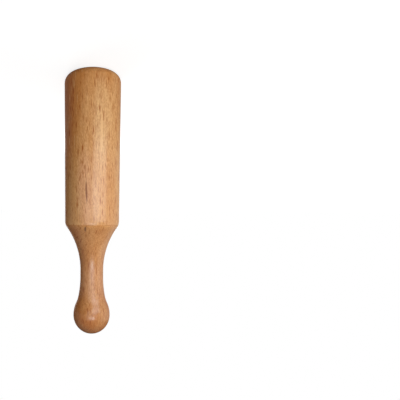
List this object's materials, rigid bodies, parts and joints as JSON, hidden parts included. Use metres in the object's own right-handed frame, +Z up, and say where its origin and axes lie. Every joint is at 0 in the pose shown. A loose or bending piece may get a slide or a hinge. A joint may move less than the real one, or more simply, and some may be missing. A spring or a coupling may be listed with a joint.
{
  "type": "bird call",
  "caption": "Blown wooden bird call: a turned beech barrel with a rounded mouth, plugged by a corked, ball-ended stopper that carries a brass reed inside.",
  "frame": {"origin": "centre of the mouth face, which is also the middle of the base it stands on", "axes": "+Z up the call's axis from the mouth to the ball; +Y is the side of the reed that the tongue's free end opens to; +X across the reed"},
  "size_m": [0.0282, 0.0282, 0.1275],
  "materials": {
    "barrel_beech": "turned beech with fine ray flecks under a satin clear lacquer",
    "stopper_beech": "turned beech, a little more orange, under a satin clear lacquer",
    "cork": "pressed natural cork, matt, with dark pores",
    "trough_brass": "drawn brass, slightly dulled",
    "tongue_brass": "rolled spring brass strip, bright along the rolling"
  },
  "bodies": {
    "barrel": {"barrel": "barrel_beech"},
    "stopper": {"stopper": "stopper_beech", "tenon_cork": "cork"},
    "trough": {"reed_trough": "trough_brass"},
    "reed": {"reed_tongue": "tongue_brass"},
    "wedge": {"reed_wedge": "cork"}
  },
  "joints": [
    {"name": "stopper_pull", "type": "slide", "parent": "barrel", "child": "stopper", "axis": [0, 0, 1], "range_m": [0, 0.055]},
    {"name": "trough_pull", "type": "slide", "parent": "stopper", "child": "trough", "axis": [0, 0, -1], "range_m": [0, 0.0135]},
    {"name": "wedge_pull", "type": "slide", "parent": "stopper", "child": "wedge", "axis": [0, 0, -1], "range_m": [0, 0.0115]},
    {"name": "reed_beat", "type": "hinge", "parent": "trough", "child": "reed", "pos_m": [0, 0.0001, 0.0396], "axis": [1, 0, 0], "range_deg": [-4, 3], "stiffness_Nm_per_rad": 0.176, "deforming": ["reed_tongue"]}
  ]
}
